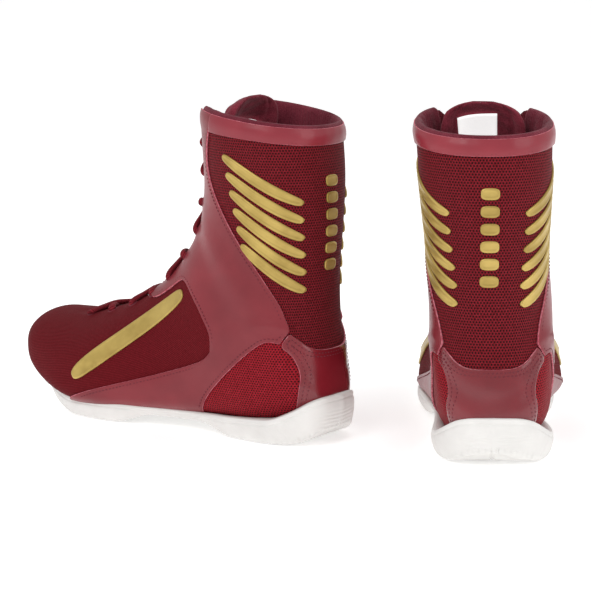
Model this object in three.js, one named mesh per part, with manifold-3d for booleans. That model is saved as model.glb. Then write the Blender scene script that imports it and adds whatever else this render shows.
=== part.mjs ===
// A pair of high lace-up boxing boots, left and right, standing side by side.
// Millimetres, +Z up. Each boot is drawn in its own frame: x runs from the back of the
// heel to the toe, y points to the outer (lateral) side, z is height above the floor.
// The right boot is the mirror image of the left one.
import * as THREE from "three";
import { mergeVertices } from "three/addons/utils/BufferGeometryUtils.js";
import Module from "manifold-3d";

const wasm = await Module();
wasm.setup();

// ---- driving dimensions -------------------------------------------------------------
const LEFT = { heel: [38.7, -57.8], heading: 144.5 };   // heel point and toe direction, degrees
const RIGHT = { heel: [131.7, -141.8], heading: 87.5 };
const GAP = 0.3;                    // clearance between touching pieces
const LEATHER = [-0.3, 1.0];        // layers, as distances outside the upper's skin
const MESH = [-2.1, -0.6];
const TRIM = [-0.3, 0.3];
const LINING = [-4.0, -2.4];
const ROLL = [-8.0, -2.4];
const TONGUE = [-15.2, -9.8];
const THROAT = { half: 8, front: 229 };                 // lacing slot: half width, front end
const COLLAR_OPENING = { sections: 1.2, edges: [32, 36, 40] };  // the slot opens to a V at the top
const LINING_EDGE = 24;             // half width of the wider slot in the lining
const LACE = { radius: 2.0, rows: 10, half: 16, over: 4.3, under: -5.6, topZ: 211 };
const EYELET_RADIUS = 3.9;
const ROWS = 15;                    // lines of facets along the boot, toe to collar
const SIDE = 8;                     // facets round each side, beyond the throat
const FAR = 120;                    // longer than any half of the boot

// Sections of the upper from toe to collar. Each is an oval between a point on the top or
// front line and a point on the bottom or back line: [front x, z, back x, z, lateral and
// medial half width, sideways shift, egg shape, squareness of the back or bottom half].
const SECTIONS = [
  [284, 51, 284, 45, 2, 2, 4, 0, 2],
  [283, 58, 282, 39, 18, 17, 4, 0.05, 2.2],
  [277, 66, 275, 32, 30, 29, 4, 0.1, 2.4],
  [264, 72, 262, 23, 41, 38, 5, 0.16, 2.7],
  [243, 74, 241, 14, 49, 44, 6, 0.2, 3.0],
  [218, 76, 216, 9.5, 54, 48, 7, 0.27, 3.3],
  [190, 84, 188, 8, 54, 49, 7, 0.3, 3.3],
  [167, 95, 160, 9, 49, 44, 6, 0.3, 3.4],
  [150, 108, 128, 10, 44, 40, 5, 0.28, 3.5],
  [137, 122, 90, 10, 43, 39, 4, 0.2, 3.5],
  [127, 137, 46, 10, 44, 40, 4, 0.1, 3.3],
  [120, 152, 10, 22, 43, 41, 3, 0.02, 2.6],
  [117, 166, 9, 50, 43, 41, 2, 0, 2.3],
  [116, 180, 14, 84, 42, 42, 1, 0, 2.2],
  [116, 194, 15.5, 118, 43, 43, 0, 0, 2.2],
  [117, 208, 14, 152, 45, 45, -1, 0, 2.2],
  [118, 222, 14, 186, 47, 47, -2, 0, 2.2],
  [119, 236, 18, 223, 48, 48, -3, 0, 2.2],
];
const TOP_SQUARE = 2.15;
const LAST = SECTIONS.length - 1;

// Outsole outline, [x, lateral y, medial y], and its heights, [x, underside z, top edge z].
const SOLE_PLAN = [
  [1, 8, 0], [4, 24, -14], [12, 36, -26], [26, 44, -34], [44, 48.5, -38], [68, 48, -37],
  [95, 45, -35], [120, 45, -35], [145, 50, -39], [170, 57, -43], [195, 59, -46],
  [218, 56, -44], [238, 47, -38], [255, 36, -30], [268, 24, -20], [279, 12, -5],
];
const SOLE_HEIGHT = [
  [1, 6, 35], [8, 2.5, 32], [16, 0.5, 27], [24, 0, 23], [36, 0, 18], [78, 0, 15.5], [100, 7, 15],
  [148, 7, 15], [168, 0, 15.5], [218, 0, 15], [238, 4.5, 19],
  [255, 13, 26.5], [268, 24, 35], [279, 34, 43],
];

// Side-view outlines, [x, z], of the panels cut from the layers.
const SHAFT_EDGE = [[90, 228], [95.5, 214], [98, 198], [94, 184], [85, 170], [66, 144], [48, 122],
  [34, 101], [26.5, 83]];
const VAMP_EDGE = [[216, 14], [187, 25], [146, 37], [112, 48], [94, 55]];
const VAMP_BACK = [[86.5, 62], [86, 68], [88, 77], [101, 94], [116, 108]];
const LOBE_EDGE = [[124, 110], [137, 101], [148, 94], [156, 92], [163, 97], [166, 112]];
const WINDOW_FRONT = [[31.5, 72.6], [37, 74.2], [43, 73.5], [56, 64], [75, 46], [92, 28], [104, 6]];
const WINDOW_BACK = [[30, 70.6], [24, 64.5], [20, 55], [18.5, 48], [19.5, 36], [22, 27], [28, 6]];
const COUNTER_TOP = [[-20, 66], [12, 66.5], [17, 70.5], [21, 75], [25.6, 79.5]];
const HEEL_MESH = [[16, 4], [14.5, 30], [13.5, 50], [18, 66], [28, 76.5], [42, 80], [60, 70],
  [82, 50], [99, 32], [114, 4]];
const BAND_LINE = [[-20, 210], [14, 211.5], [50, 216], [92, 219.5], [140, 222]];
const FLASH = { start: [205, 33], end: [120, 101], half: 7.5, tip: 0.4 };   // forefoot bar

// ---- the upper's skin ---------------------------------------------------------------
function blendRows(rows, t) {
  const place = THREE.MathUtils.clamp(t, 0, rows.length - 1);
  const index = Math.min(Math.floor(place), rows.length - 2);
  const f = place - index;
  const b = rows[index];
  const c = rows[index + 1];
  const a = rows[index - 1] ?? b.map((value, k) => 2 * value - c[k]);
  const d = rows[index + 2] ?? c.map((value, k) => 2 * value - b[k]);
  return b.map((value, k) => 0.5 * (2 * value + (c[k] - a[k]) * f
    + (2 * a[k] - 5 * value + 4 * c[k] - d[k]) * f * f
    + (3 * value - a[k] - 3 * c[k] + d[k]) * f * f * f));
}

// A point of the skin: t counts sections from the toe, v goes from 0 on the top or front
// line to 1 on the bottom or back line, positive on the lateral side.
function skin(t, v) {
  const [fx, fz, bx, bz, lateral, medial, shift, egg, square] = blendRows(SECTIONS, t);
  const c = Math.cos(Math.PI * Math.abs(v));
  const s = Math.max(0, Math.sin(Math.PI * Math.abs(v)));
  const power = 2 / (c > 0 ? TOP_SQUARE : square);
  const h = 0.5 * (1 - Math.sign(c) * Math.abs(c) ** power);
  const half = (v > 0 ? lateral : medial) * s ** power * (1 - egg * c);
  return new THREE.Vector3(fx + (bx - fx) * h, shift + Math.sign(v) * half, fz + (bz - fz) * h);
}

function skinNormal(t, v) {
  const step = 0.02;
  const low = Math.max(t - step, 0.4);
  const along = skin(low + 2 * step, v).sub(skin(low, v));
  const around = skin(low + step, v + step).sub(skin(low + step, v - step));
  return new THREE.Vector3().crossVectors(around, along).normalize();
}

function raised(t, v, offset) {
  return skin(t, v).addScaledVector(skinNormal(t, v), offset);
}

// The angle v at which the skin is a given distance from the throat's centre line.
function angleAt(t, distance) {
  const row = blendRows(SECTIONS, t);
  const half = 0.5 * (row[4] + row[5]) * (1 - row[7]);
  return Math.asin(Math.min(1, distance / half) ** (TOP_SQUARE / 2)) / Math.PI;
}

// The place t at which the front line reaches a given x (foot) or z (shaft).
function frontAt(value, key) {
  let low = 3;
  let high = LAST;
  for (let step = 0; step < 40; step += 1) {
    const middle = (low + high) / 2;
    const before = key === 0 ? blendRows(SECTIONS, middle)[0] > value
      : blendRows(SECTIONS, middle)[1] < value;
    if (before) low = middle; else high = middle;
  }
  return low;
}

const THROAT_START = frontAt(THROAT.front, 0);

// ---- solids -------------------------------------------------------------------------
function solidFrom(positions, triangles) {
  const raw = new THREE.BufferGeometry();
  raw.setAttribute("position", new THREE.Float32BufferAttribute(positions.flat(), 3));
  raw.setIndex(triangles.flat());
  return solid(raw);
}

function solid(geometry) {
  geometry.deleteAttribute("normal");
  geometry.deleteAttribute("uv");
  const merged = mergeVertices(geometry, 1e-3);
  const index = Array.from(merged.index.array);
  const kept = [];
  for (let i = 0; i < index.length; i += 3) {
    const [a, b, c] = index.slice(i, i + 3);
    if (a !== b && b !== c && c !== a) kept.push(a, b, c);
  }
  return new wasm.Manifold(new wasm.Mesh({
    numProp: 3,
    vertProperties: Float32Array.from(merged.attributes.position.array),
    triVerts: Uint32Array.from(kept),
  }));
}

function largest(body) {
  const parts = body.decompose();
  return parts.reduce((best, part) => (part.volume() > best.volume() ? part : best));
}

function geometryOf(body) {
  const mesh = largest(body).getMesh();
  const geometry = new THREE.BufferGeometry();
  geometry.setAttribute("position", new THREE.Float32BufferAttribute(mesh.vertProperties, 3));
  geometry.setIndex(Array.from(mesh.triVerts));
  return geometry;
}

// Places along the boot, with one exactly at the throat's front end.
function rowPlaces(first, last, count) {
  const places = [];
  for (let i = 0; i < count; i += 1) places.push(first + (last - first) * i / (count - 1));
  return places;
}

const FOOT_ROWS = 5;
const PLACES = [...rowPlaces(0, THROAT_START, FOOT_ROWS),
  ...rowPlaces(THROAT_START, LAST, ROWS - FOOT_ROWS + 1).slice(1)];

// Columns round the boot: -1 and +1 are the same line at the bottom or back.
function columnAngles(t) {
  const { sections, edges } = COLLAR_OPENING;
  const wider = Math.max(0, 1 - (LAST - t) / sections);
  const side = [THROAT.half, LACE.half, LINING_EDGE].map((distance, k) => (
    angleAt(t, distance + (edges[k] - distance) * wider)));
  const edge = side[2];
  for (let k = 1; k <= SIDE - 2; k += 1) side.push(edge + (1 - edge) * (k / (SIDE - 2)));
  const mirrored = side.slice(0, -1).map((value) => -value).reverse();
  return [...mirrored, 0, ...side];
}

// One layer of the upper between two distances from the skin: a sock, closed at the toe and
// slit open along the throat, wide more columns to each side than the throat itself.
function layer([inner, outer], wide = 0) {
  const columns = 2 * SIDE + 2;
  const positions = [];
  for (const offset of [inner, outer]) {
    for (const t of PLACES) {
      const angles = columnAngles(t).slice(0, columns);
      for (const v of angles) positions.push(raised(Math.max(t, 0.001), v, offset).toArray());
    }
  }
  const size = PLACES.length * columns;
  const at = (side, row, column) => side * size + row * columns + (column + columns) % columns;
  for (const side of [0, 1]) {
    const first = Array.from({ length: columns }, (_, k) => positions[at(side, 0, k)]);
    const middle = [0, 1, 2].map((axis) => first.reduce((sum, p) => sum + p[axis], 0) / columns);
    for (let k = 0; k < columns; k += 1) positions[at(side, 0, k)] = middle;
  }
  const open = (row, column) => PLACES[row] > THROAT_START - 1e-6
    && column >= SIDE - 1 - wide && column <= SIDE + wide;
  const triangles = [];
  const quad = (a, b, c, d) => triangles.push([a, b, c], [a, c, d]);
  for (let row = 0; row < PLACES.length - 1; row += 1) {
    for (let column = 0; column < columns; column += 1) {
      if (open(row, column)) continue;
      const corners = (side) => [at(side, row, column), at(side, row + 1, column),
        at(side, row + 1, column + 1), at(side, row, column + 1)];
      const [ia, ib, ic, id] = corners(0);
      const [oa, ob, oc, od] = corners(1);
      quad(ia, ib, ic, id);
      quad(oa, od, oc, ob);
      if (row === PLACES.length - 2) quad(ib, ob, oc, ic);
      if (row > 0 && open(row - 1, column)) quad(ia, id, od, oa);
      if (row < PLACES.length - 2 && open(row + 1, column)) quad(ib, ob, oc, ic);
      if (open(row, (column + columns - 1) % columns)) quad(ia, oa, ob, ib);
      if (open(row, (column + 1) % columns)) quad(id, ic, oc, od);
    }
  }
  return solidFrom(positions, triangles);
}

// The whole volume inside one offset of the skin, closed at the collar.
function volume(offset) {
  const columns = 2 * SIDE + 2;
  const positions = [];
  for (const t of PLACES) {
    for (const v of columnAngles(t).slice(0, columns)) {
      positions.push(raised(Math.max(t, 0.001), v, offset).toArray());
    }
  }
  const first = positions.slice(0, columns);
  const middle = [0, 1, 2].map((axis) => first.reduce((sum, p) => sum + p[axis], 0) / columns);
  for (let k = 0; k < columns; k += 1) positions[k] = middle;
  const base = positions.length - columns;
  positions.push([0, 1, 2].map((axis) => (
    positions.slice(base).reduce((sum, p) => sum + p[axis], 0) / columns)));
  const triangles = [];
  for (let row = 0; row < PLACES.length - 1; row += 1) {
    for (let column = 0; column < columns; column += 1) {
      const next = (column + 1) % columns;
      const [a, b] = [row * columns + column, (row + 1) * columns + column];
      const [c, d] = [(row + 1) * columns + next, row * columns + next];
      triangles.push([a, d, c], [a, c, b]);
    }
  }
  for (let column = 0; column < columns; column += 1) {
    triangles.push([base + column, base + (column + 1) % columns, positions.length - 1]);
  }
  return solidFrom(positions, triangles);
}

// A cutter: a side-view outline carried across the boot from y = from to y = to.
function sidePrism(outline, from = -FAR, to = FAR) {
  const shape = new THREE.Shape(outline.map(([x, z]) => new THREE.Vector2(x, z)));
  const geometry = new THREE.ExtrudeGeometry(shape, { depth: to - from, bevelEnabled: false });
  geometry.rotateX(Math.PI / 2);
  geometry.translate(0, to, 0);
  return solid(geometry);
}

const shifted = (points, dx, dz) => points.map(([x, z]) => [x + dx, z + dz]);
const backwards = (points) => [...points].reverse();

const SIDES = { lateral: [0, FAR], medial: [-FAR, 0] };

// A straight bar between two places, narrower at its ends.
function barOutline({ start, end, half, tip }) {
  const [dx, dz] = [end[0] - start[0], end[1] - start[1]];
  const size = Math.hypot(dx, dz);
  const edge = (sign) => [[0, tip], [0.25, 1], [0.75, 1], [1, tip]].map(([share, width]) => [
    start[0] + dx * share - sign * dz / size * half * width,
    start[1] + dz * share + sign * dx / size * half * width]);
  return [...edge(1), ...backwards(edge(-1))];
}

// ---- eyelets and lace ---------------------------------------------------------------
const TOP_EYELET = frontAt(LACE.topZ, 1);
const FIRST_EYELET = THROAT_START + 0.42;

function lengthBetween(from, to) {
  let sum = 0;
  for (let k = 0; k < 50; k += 1) {
    const a = from + (to - from) * k / 50;
    sum += skin(a, 0).distanceTo(skin(a + (to - from) / 50, 0));
  }
  return sum;
}

// Row 1 is the top pair of eyelets; the rows are evenly spaced along the throat.
const eyeletRows = Array.from({ length: LACE.rows }, (_, k) => {
  const share = k / (LACE.rows - 1);
  const total = lengthBetween(FIRST_EYELET, TOP_EYELET);
  let low = FIRST_EYELET;
  let high = TOP_EYELET;
  for (let step = 0; step < 30; step += 1) {
    const middle = (low + high) / 2;
    if (lengthBetween(FIRST_EYELET, middle) < total * (1 - share)) low = middle; else high = middle;
  }
  return low;
});

const onFacing = (t, distance, offset) => raised(t, Math.sign(distance) * angleAt(t, Math.abs(distance)),
  offset);

function eyeletHole(t, side) {
  const centre = onFacing(t, side * LACE.half, 0);
  const normal = skinNormal(t, side * angleAt(t, LACE.half));
  const hole = new THREE.CylinderGeometry(EYELET_RADIUS, EYELET_RADIUS, 12, 6);
  hole.applyQuaternion(new THREE.Quaternion().setFromUnitVectors(new THREE.Vector3(0, 1, 0), normal));
  hole.translate(centre.x, centre.y, centre.z);
  return solid(hole);
}

function punched(panel, rows, side) {
  return rows.reduce((body, t) => body.subtract(eyeletHole(t, side)), panel);
}

// Over-under lacing: one lace crosses outside the facings between rows 1 and 2, inside
// between rows 2 and 3, and so on down to a bar under row 10, then climbs back the other way.
function laceStrand(first) {
  const points = [];
  for (let row = 0; row < LACE.rows - 1; row += 1) {
    const [a, b] = [eyeletRows[row], eyeletRows[row + 1]];
    const between = (share) => a + (b - a) * share;
    const side = row % 2 === 0 ? first : -first;
    const outside = row % 2 === 0;
    const level = outside ? LACE.over : LACE.under;
    const crossing = outside ? (first > 0 ? 1.6 : 6.1) : (first > 0 ? -5.6 : -1.1);
    points.push(onFacing(a, side * LACE.half, level));
    if (outside || first < 0) points.push(onFacing(between(0.24), side * (THROAT.half + 0.6), level));
    points.push(onFacing(between(0.5), 0.001, crossing));
    if (outside || first < 0) points.push(onFacing(between(0.76), -side * (THROAT.half + 0.6), level));
    points.push(onFacing(b, -side * LACE.half, level));
  }
  return points;
}

function laceRoute() {
  const tail = (side) => [TOP_EYELET + 1.0, TOP_EYELET + 0.5, TOP_EYELET].map(
    (t) => onFacing(t, side * LACE.half, LACE.under));
  const bar = onFacing(eyeletRows[LACE.rows - 1], 0.001, LACE.under);
  const down = laceStrand(1);
  const up = laceStrand(-1).reverse();
  const last = LACE.rows - 1;
  const ends = [1, -1].map((side) => onFacing(eyeletRows[last], side * LACE.half, LACE.under));
  return [...tail(1), ...down, ends[1], bar, ends[0], ...up, ...tail(-1).reverse()];
}

// A path that ExtrudeGeometry walks point by point, so every bend is kept.
class PointPath extends THREE.Curve {
  constructor(points) {
    super();
    this.points = points;
  }

  getPoint(share, target = new THREE.Vector3()) {
    const place = share * (this.points.length - 1);
    const index = Math.min(Math.floor(place + 1e-9), this.points.length - 2);
    return target.lerpVectors(this.points[index], this.points[index + 1], place - index);
  }

  getPointAt(share, target) {
    return this.getPoint(share, target);
  }

  getTangentAt(share, target = new THREE.Vector3()) {
    const count = this.points.length - 1;
    const index = Math.round(share * count);
    const before = this.points[Math.max(index - 1, 0)];
    const after = this.points[Math.min(index + 1, count)];
    return target.subVectors(after, before).normalize();
  }
}

function tube(points, radius, sides) {
  const section = new THREE.Shape(Array.from({ length: sides }, (_, k) => new THREE.Vector2(
    radius * Math.cos(2 * Math.PI * k / sides), radius * Math.sin(2 * Math.PI * k / sides))));
  return solid(new THREE.ExtrudeGeometry(section, {
    steps: points.length - 1, extrudePath: new PointPath(points), bevelEnabled: false,
  }));
}

// ---- outsole ------------------------------------------------------------------------
function linear(table, x, column) {
  const last = table.length - 1;
  if (x <= table[0][0]) return table[0][column];
  for (let k = 0; k < last; k += 1) {
    const [a, b] = [table[k], table[k + 1]];
    if (x <= b[0]) return a[column] + (b[column] - a[column]) * (x - a[0]) / (b[0] - a[0]);
  }
  return table[last][column];
}

function outsoleBlock() {
  const steps = 26;
  const half = [];
  for (let k = 0; k <= steps; k += 1) half.push(blendRows(SOLE_PLAN, (SOLE_PLAN.length - 1) * k / steps));
  const outline = [...half.map(([x, y]) => [x, y]), ...backwards(half).map(([x, , y]) => [x, y])];
  const count = outline.length;
  const inset = (k, distance) => {
    const [before, after] = [outline[(k + count - 1) % count], outline[(k + 1) % count]];
    const [dx, dy] = [after[0] - before[0], after[1] - before[1]];
    const size = Math.hypot(dx, dy);
    return [outline[k][0] + distance * dy / size, outline[k][1] - distance * dx / size];
  };
  const rings = [[8, 0, 0], [2.5, 0, 3.5], [0, 0.5, 0], [2, 1, 0]];
  const positions = [];
  for (const [distance, share, lift] of rings) {
    for (let k = 0; k < count; k += 1) {
      const [bottom, top] = [1, 2].map((column) => linear(SOLE_HEIGHT, outline[k][0], column));
      positions.push([...inset(k, distance), bottom + (top - bottom) * share + lift]);
    }
  }
  const triangles = [];
  for (let ring = 0; ring < rings.length - 1; ring += 1) {
    for (let k = 0; k < count; k += 1) {
      const [a, b] = [ring * count + k, ring * count + (k + 1) % count];
      triangles.push([a, a + count, b + count], [a, b + count, b]);
    }
  }
  for (let k = 0; k < steps; k += 1) {
    const [a, b, c, d] = [k, k + 1, count - 2 - k, count - 1 - k];
    const lift = (rings.length - 1) * count;
    triangles.push([a, b, c], [a, c, d], [lift + a, lift + c, lift + b], [lift + a, lift + d, lift + c]);
  }
  return solidFrom(positions, triangles);
}

// ---- the pieces of one boot ---------------------------------------------------------
// The line that the bottom of the upper follows, and the height above it where the sewn-in
// board ends and the side panels begin.
const FLOOR_LINE = [[-20, 10], [46, 10], [160, 9], [216, 9.5], [241, 14], [262, 23],
  [275, 32], [283, 40], [310, 68]];
const BOARD = { low: -3, high: 2.3, panels: 2.7 };
const slab = (low, high) => sidePrism([...shifted(FLOOR_LINE, 0, low),
  ...backwards(shifted(FLOOR_LINE, 0, high))]);
const panelRoom = slab(BOARD.panels, 300);
const layers = {
  leather: layer(LEATHER).intersect(panelRoom),
  mesh: layer(MESH).intersect(panelRoom),
  lining: layer(LINING, 2).intersect(panelRoom),
  roll: layer(ROLL, 2),
  trim: layer(TRIM),
};

const quarterOutline = [
  [82, 260], ...SHAFT_EDGE, [31.5, 73], ...WINDOW_FRONT.slice(1), [216, 0],
  ...VAMP_EDGE, ...VAMP_BACK, ...LOBE_EDGE, [190, 130], [190, 260],
];
const counterOutline = [...COUNTER_TOP, ...WINDOW_BACK, [28, 0], [-20, 0]];
const shaftMeshOutline = [
  [-20, 68.5], [11, 69], [15, 72.5], [20, 77.5], [26, 83.5], ...backwards(shifted(SHAFT_EDGE, 6, 0)),
  [94, 225.5], ...backwards(shifted(BAND_LINE, 0, 6)).slice(2),
];
const vampOutline = [
  [310, -10], [310, 140], [168, 140], [129, 123], ...shifted(backwards(VAMP_BACK), -7, 4), [80, 54],
  [92, 47], [146, 29], [184, 18], [194, -10],
];
const FOOT_TOP = [[-20, 60], [60, 60], [100, 84], [134, 112], [160, 160]];
const SHAFT_LOW = [[-20, 82], [30, 82], [60, 98], [122, 158], [160, 196]];
const footLiningOutline = [[-20, -10], ...FOOT_TOP, [244, 160], [244, -10]];
const ankleLiningOutline = [...shifted(FOOT_TOP, 0, 2 * GAP), ...backwards(shifted(SHAFT_LOW, 0, -2 * GAP))];
const shaftLiningOutline = [...SHAFT_LOW, [160, 203], [-20, 203]];

function rollBody() {
  return layers.roll.intersect(sidePrism([[-20, 204], [160, 204.5], [160, 260], [-20, 260]]));
}

// A closed patch with a grid of points on its inner and its outer face, point(row, column, side).
function patch(rows, columns, point) {
  const positions = [];
  for (const side of [0, 1]) {
    for (let row = 0; row <= rows; row += 1) {
      for (let column = 0; column <= columns; column += 1) positions.push(point(row, column, side));
    }
  }
  const wide = columns + 1;
  const size = (rows + 1) * wide;
  const triangles = [];
  const quad = (a, b, c, d) => triangles.push([a, b, c], [a, c, d]);
  for (let row = 0; row < rows; row += 1) {
    for (let k = 0; k < columns; k += 1) {
      const a = row * wide + k;
      quad(a, a + wide, a + wide + 1, a + 1);
      quad(size + a, size + a + 1, size + a + wide + 1, size + a + wide);
    }
    const [l, r] = [row * wide, row * wide + columns];
    quad(l, size + l, size + l + wide, l + wide);
    quad(r, r + wide, size + r + wide, size + r);
  }
  for (let k = 0; k < columns; k += 1) {
    const top = rows * wide + k;
    quad(k, k + 1, size + k + 1, size + k);
    quad(top, size + top, size + top + 1, top + 1);
  }
  return solidFrom(positions, triangles);
}

// The tongue leans back from the collar, and its top stands above it with round corners.
const TONGUE_TOP = { lean: 15, rise: 7, reach: 0.55, rows: 12, columns: 6 };

function tonguePoint(t, v, offset, lift) {
  const point = raised(t, v, offset - 1.4 * Math.max(0, t - LAST + 3) / 3);
  const lean = TONGUE_TOP.lean * Math.max(0, (t - LAST + 2.5) / 2.5) ** 2;
  return [point.x - lean - 0.3 * lift, point.y, point.z + lift];
}

function tongueBody() {
  const first = frontAt(236, 0);
  const { rows, columns, rise, reach } = TONGUE_TOP;
  return patch(rows, columns, (row, column, side) => {
    const t = Math.min(first + (LAST - first) * row / (rows - 1), LAST);
    const width = (0.15 + 0.15 * Math.min(1, row / 6)) * (row === rows ? reach : 1);
    const v = width * (2 * column / columns - 1) + 1e-6;
    return tonguePoint(t, v, TONGUE[side], row === rows ? rise : 0);
  });
}

// A blank woven label sewn to the inside of the tongue, near its top.
function labelBody() {
  const [from, to] = [LAST - 1.1, LAST - 0.15];
  return patch(1, 2, (row, column, side) => tonguePoint(from + (to - from) * row,
    -0.12 + 0.1 * column, TONGUE[0] - 1.5 + 0.7 * side, 0));
}

// A column of plain bars on one spine down the back of the shaft.
function badgeBody() {
  const bars = 6;
  const [low, high, half, spine] = [121, 193, 6.5, 1.6];
  const pitch = (high - low) / bars;
  const outline = [];
  for (const side of [1, -1]) {
    for (let k = 0; k < bars; k += 1) {
      const bar = side > 0 ? k : bars - 1 - k;
      const [start, end] = [low + pitch * (bar + 0.14), low + pitch * (bar + 0.86)];
      const edge = [[spine, start], [half, start], [half, end], [spine, end]];
      outline.push(...(side > 0 ? edge : backwards(edge).map(([y, z]) => [-y, z])));
    }
  }
  const shape = new THREE.Shape(outline.map(([y, z]) => new THREE.Vector2(y, z)));
  const prism = new THREE.ExtrudeGeometry(shape, { depth: 40, bevelEnabled: false });
  prism.rotateX(Math.PI / 2);
  prism.rotateZ(Math.PI / 2);
  prism.translate(-10, 0, 0);
  return layers.trim.intersect(solid(prism));
}

function bootPieces() {
  const upperRows = eyeletRows.slice(0, 7);
  const lowerRows = eyeletRows.slice(4);
  const pieces = {};
  pieces.outsole = outsoleBlock().subtract(volume(LEATHER[1] + GAP));
  pieces.insole_board = volume(LEATHER[1] - GAP).intersect(slab(BOARD.low, BOARD.high));
  pieces.sock_liner = volume(LINING[0] - GAP).intersect(slab(BOARD.panels, BOARD.panels + 4.5));
  let vamp = layers.mesh.intersect(sidePrism(vampOutline));
  for (const side of [1, -1]) vamp = punched(vamp, lowerRows, side);
  pieces.vamp = vamp;
  pieces.toe_puff = layers.lining.intersect(sidePrism([[244.6, -10], [244.6, 100], [320, 100], [320, -10]]));
  pieces.heel_stiffener = layers.mesh.intersect(sidePrism([[-20, 12], [-20, 60], [12, 60], [12.5, 12]]));
  pieces.heel_counter = layers.leather.intersect(sidePrism(counterOutline));
  pieces.ankle_lining = layers.lining.intersect(sidePrism(ankleLiningOutline));
  pieces.shaft_lining = layers.lining.intersect(sidePrism(shaftLiningOutline));
  pieces.shaft_mesh = layers.mesh.intersect(sidePrism(shaftMeshOutline));
  pieces.collar_roll = rollBody();
  const bandOutline = [...BAND_LINE.slice(0, 3), [91.4, 219.5], [89.4, 228], [81.4, 260], [-20, 260]];
  pieces.collar_band = layers.leather.intersect(sidePrism(bandOutline));
  for (const [name, [from, to]] of Object.entries(SIDES)) {
    const side = name === "lateral" ? 1 : -1;
    const quarter = layers.leather.intersect(sidePrism(quarterOutline, from, to));
    pieces[`quarter_${name}`] = punched(quarter, upperRows, side);
    pieces[`heel_mesh_${name}`] = layers.mesh.intersect(sidePrism(HEEL_MESH, from, to));
    pieces[`forefoot_flash_${name}`] = layers.trim.intersect(sidePrism(barOutline(FLASH), from, to));
    const split = side > 0 ? [from + GAP / 2, to] : [from, to - GAP / 2];
    pieces[`vamp_lining_${name}`] = layers.lining.intersect(sidePrism(footLiningOutline, ...split));
  }
  pieces.tongue = tongueBody();
  pieces.size_label = labelBody();
  pieces.lace = tube(laceRoute(), LACE.radius, 8);
  pieces.back_badge = badgeBody();
  return pieces;
}

const LOOKS = {
  outsole: ["#f1eee9", 0.6], insole_board: ["#b9a58a", 0.9], sock_liner: ["#3a1218", 0.95],
  vamp: ["#6d1520", 0.8], vamp_lining: ["#4a161d", 0.95], toe_puff: ["#8d8378", 0.9],
  heel_stiffener: ["#8d8378", 0.9], heel_counter: ["#8c3540", 0.35], ankle_lining: ["#4a161d", 0.95],
  shaft_lining: ["#4a161d", 0.95], shaft_mesh: ["#7b1420", 0.8], collar_roll: ["#5a1c25", 0.95],
  collar_band: ["#98404b", 0.4], quarter: ["#8f3a45", 0.4], heel_mesh: ["#951823", 0.8],
  forefoot_flash: ["#d3b878", 0.45], tongue: ["#52171f", 0.95], size_label: ["#efecea", 0.9], lace: ["#6e202a", 0.8],
  back_badge: ["#d3b878", 0.45],
};

function makeBoot(prefix, { heel, heading }, mirror, pieces) {
  const boot = new THREE.Group();
  for (const [name, body] of Object.entries(pieces)) {
    const [color, roughness] = LOOKS[name.replace(/_(lateral|medial)$/, "")];
    const material = new THREE.MeshStandardMaterial({ color, roughness, metalness: 0 });
    const mesh = new THREE.Mesh(geometryOf(body), material);
    mesh.name = `${prefix}_${name}`;
    boot.add(mesh);
  }
  boot.scale.set(1, mirror ? -1 : 1, 1);
  boot.rotation.z = THREE.MathUtils.degToRad(heading);
  boot.position.set(heel[0], heel[1], 0);
  return boot;
}

const pieces = bootPieces();
const pair = new THREE.Group();
pair.add(makeBoot("left", LEFT, false, pieces), makeBoot("right", RIGHT, true, pieces));

export default pair;
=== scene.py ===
"""Looks of a pair of high lace-up boxing boots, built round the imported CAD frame.

Every piece is drawn once in a boot's own frame, in millimetres: x runs from the back of the
heel to the toe, y points to the outer side and z is height. It is then placed in metres for
the left boot and, mirrored, for the right one.
"""
import math

import bpy
import numpy as np
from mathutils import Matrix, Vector
from mathutils.bvhtree import BVHTree


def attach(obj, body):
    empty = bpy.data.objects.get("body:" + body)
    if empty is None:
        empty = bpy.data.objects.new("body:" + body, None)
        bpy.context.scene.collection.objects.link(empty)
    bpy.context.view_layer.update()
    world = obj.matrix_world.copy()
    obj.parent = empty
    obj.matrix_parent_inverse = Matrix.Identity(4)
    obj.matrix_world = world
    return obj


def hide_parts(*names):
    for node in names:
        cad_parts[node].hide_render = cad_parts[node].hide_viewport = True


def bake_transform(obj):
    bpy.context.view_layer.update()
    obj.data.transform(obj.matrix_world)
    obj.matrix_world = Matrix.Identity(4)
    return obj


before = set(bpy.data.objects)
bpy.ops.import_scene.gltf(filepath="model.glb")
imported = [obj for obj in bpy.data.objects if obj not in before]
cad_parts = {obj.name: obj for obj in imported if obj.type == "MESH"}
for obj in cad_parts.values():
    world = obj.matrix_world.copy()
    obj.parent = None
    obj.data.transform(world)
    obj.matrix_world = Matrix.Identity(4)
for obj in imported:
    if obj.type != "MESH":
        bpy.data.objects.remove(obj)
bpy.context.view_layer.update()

# ---- driving dimensions, in millimetres ----------------------------------------------
MM = 0.001                  # metres in a millimetre
CENTIMETRES = 0.1           # texture places are in centimetres
BOOTS = {                   # where the back of the heel stands, and the way to the toe in degrees
    "left": {"heel": (38.7, -57.8), "heading": 144.5, "mirror": 1},
    "right": {"heel": (131.7, -141.8), "heading": 87.5, "mirror": -1},
}
LEATHER = (-0.3, 1.0)       # layers, as distances outside the upper's skin
MESH = (-2.1, -0.6)
LINING = (-4.0, -2.4)
TRIM = (-0.6, 0.5)
TONGUE = (-14.0, -6.4)
THROAT_HALF = 8             # half the width of the lacing slot
COLLAR_OPENING = {"from_z": 214, "to_z": 236, "wider": 25}   # the throat opens to a V at the top
THROAT_FRONT = 229          # x of the slot's front end
LINING_EDGE = 24            # the linings end this far from the front line
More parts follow.
